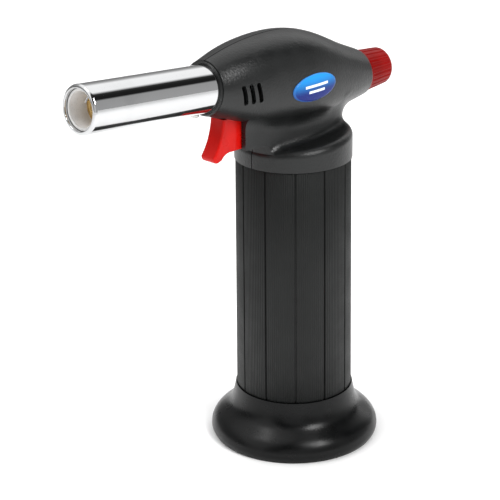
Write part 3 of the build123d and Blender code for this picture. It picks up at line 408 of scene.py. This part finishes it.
def make_badge(material):
    """The badge's dome, raised over the curved face of the CAD badge."""
    middle, half_width, half_height = badge_size()
    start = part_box("badge")[0].y - BADGE_PROBE_START
    surface = BVHTree.FromObject(NODES["badge"], bpy.context.evaluated_depsgraph_get())
    vertices = []
    for ring in range(BADGE_RINGS + 1):
        reach = ring / BADGE_RINGS
        dome = BADGE_DOME * (1 - reach ** 2)
        past = max(0.0, (reach - BADGE_RIM_START) / (1 - BADGE_RIM_START))
        fall = BADGE_RIM_FALL * past ** 2
        for i in range(BADGE_COLUMNS):
            turn = TURN * i / BADGE_COLUMNS
            x = half_width * reach * cos(turn)
            z = half_height * reach * sin(turn)
            probe = Vector((middle.x + x * BADGE_PROBE, start, middle.z + z * BADGE_PROBE))
            hit = surface.ray_cast(probe, Vector((0, 1, 0)))[0]
            vertices.append((middle.x + x, hit.y - dome + fall, middle.z + z))
    faces = []
    for ring in range(BADGE_RINGS):
        inner = ring * BADGE_COLUMNS
        outer = inner + BADGE_COLUMNS
        for i in range(BADGE_COLUMNS):
            j = (i + 1) % BADGE_COLUMNS
            faces.append((inner + i, inner + j, outer + j, outer + i))
    badge = add_piece("badge_dome", vertices, faces, material)
    add_skirt(badge.data)
    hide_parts("badge")


def add_skirt(mesh):
    """Welds the badge's middle to one point and runs its rim back into the head."""
    shape = bmesh.new()
    shape.from_mesh(mesh)
    bmesh.ops.remove_doubles(shape, verts=shape.verts, dist=WELD)
    rim = [edge for edge in shape.edges if edge.is_boundary]
    skirt = bmesh.ops.extrude_edge_only(shape, edges=rim)["geom"]
    moved = [item for item in skirt if isinstance(item, bmesh.types.BMVert)]
    bmesh.ops.translate(shape, verts=moved, vec=(0, BADGE_SKIRT, 0))
    bmesh.ops.recalc_face_normals(shape, faces=shape.faces)
    shape.to_mesh(mesh)
    shape.free()
    mesh.shade_smooth()


def make_spring(node, material):
    """A CAD spring copied into a mesh piece of its own, in place of the hidden CAD node."""
    mesh = NODES[node].data
    vertices = [vertex.co for vertex in mesh.vertices]
    faces = [tuple(face.vertices) for face in mesh.polygons]
    spring = add_piece(f"{node}_shortening", vertices, faces, material)
    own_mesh(spring)
    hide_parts(node)


# ------------------------------------------------------------------ studio
def add_camera():
    """The camera: a three-quarter view from the barrel's side, a little from above."""
    forward = Vector((cos(CAMERA_HEADING) * cos(CAMERA_PITCH),
                      sin(CAMERA_HEADING) * cos(CAMERA_PITCH),
                      -sin(CAMERA_PITCH)))
    level = forward.cross(Vector((0, 0, 1))).normalized()
    upright = level.cross(forward)
    right = level * cos(CAMERA_ROLL) + upright * sin(CAMERA_ROLL)
    up = upright * cos(CAMERA_ROLL) - level * sin(CAMERA_ROLL)
    data = bpy.data.cameras.new("camera")
    data.sensor_width = CAMERA_SENSOR
    data.lens = CAMERA_LENS
    data.clip_start = CAMERA_NEAR
    camera = bpy.data.objects.new("camera", data)
    rotation = Matrix((right, up, -forward)).transposed()
    camera.matrix_world = Matrix.Translation(CAMERA_PLACE) @ rotation.to_4x4()
    bpy.context.scene.collection.objects.link(camera)
    bpy.context.scene.camera = camera


def add_softbox(name, azimuth, elevation, distance, width, height, power):
    """A rectangular light that points at the torch. Azimuth 0 is the -Y side, 90 the +X side."""
    data = bpy.data.lights.new(name, "AREA")
    data.shape = "RECTANGLE"
    data.size = width
    data.size_y = height
    data.energy = power
    light = bpy.data.objects.new(name, data)
    a = radians(azimuth)
    e = radians(elevation)
    light.location = AIM + distance * Vector((sin(a) * cos(e), -cos(a) * cos(e), sin(e)))
    light.rotation_euler = (light.location - AIM).to_track_quat("Z", "Y").to_euler()
    bpy.context.scene.collection.objects.link(light)


def add_floor():
    """A pale floor under the torch, with a painted glow away from it."""
    corners = [(-1, -1), (1, -1), (1, 1), (-1, 1)]
    mesh = bpy.data.meshes.new("floor")
    mesh.from_pydata([(FLOOR_HALF * x, FLOOR_HALF * y, 0) for x, y in corners], [], [(0, 1, 2, 3)])
    mesh.materials.append(floor_paper("floor_paper", (0.90, 0.90, 0.90), (0.93, 0.93, 0.93)))
    floor = bpy.data.objects.new("floor", mesh)
    bpy.context.scene.collection.objects.link(floor)


def add_world():
    """Studio surroundings: bright and dark strips along the torch, plain white to the camera."""
    world = bpy.data.worlds.new("studio")
    world.use_nodes = True
    bpy.context.scene.world = world
    tree = world.node_tree
    tree.nodes.clear()
    direction = add_node(tree, "ShaderNodeTexCoord").outputs["Generated"]
    split = add_node(tree, "ShaderNodeSeparateXYZ", {0: direction})
    near = add_node(tree, "ShaderNodeMath", {0: split.outputs["Y"], 1: -1.0}, operation="MULTIPLY")
    angle = add_node(tree, "ShaderNodeMath", {0: near.outputs[0], 1: split.outputs["Z"]},
                     operation="ARCTAN2")
    share = add_node(tree, "ShaderNodeMapRange",
                     {"Value": angle.outputs[0], "From Min": -pi, "From Max": pi})
    strips = add_node(tree, "ShaderNodeValToRGB", {0: share.outputs[0]})
    fill_strips(strips.color_ramp)
    around = add_node(tree, "ShaderNodeBackground", {"Color": strips.outputs[0]})
    seen = add_node(tree, "ShaderNodeBackground", {"Color": WHITE})
    path = add_node(tree, "ShaderNodeLightPath")
    surface = add_node(tree, "ShaderNodeMixShader",
                       {0: path.outputs["Is Camera Ray"], 1: around.outputs[0], 2: seen.outputs[0]})
    add_node(tree, "ShaderNodeOutputWorld", {"Surface": surface.outputs[0]})


def fill_strips(ramp):
    """Puts the strips on a colour ramp that spans one turn, from straight down to straight down."""
    places = [(turn + 180) / 360 for turn, _ in STRIPS]
    ramp.interpolation = "LINEAR"
    for place in places[1:-1]:
        ramp.elements.new(place)
    ramp.elements[0].position = places[0]
    ramp.elements[-1].position = places[-1]
    for element, (_, brightness) in zip(ramp.elements, STRIPS):
        element.color = (brightness, brightness, brightness, 1)


def main():
    materials = make_materials()
    dress_cad_nodes(materials)
    make_sleeve(materials["sleeve_plastic"])
    make_badge(materials["badge_film"])
    make_spring("trigger_spring", materials["steel"])
    make_spring("refill_spring", materials["steel"])
    add_camera()
    add_floor()
    add_world()
    for name, settings in SOFTBOXES.items():
        add_softbox(name, *settings)
    bpy.context.scene.view_settings.view_transform = "Standard"


main()
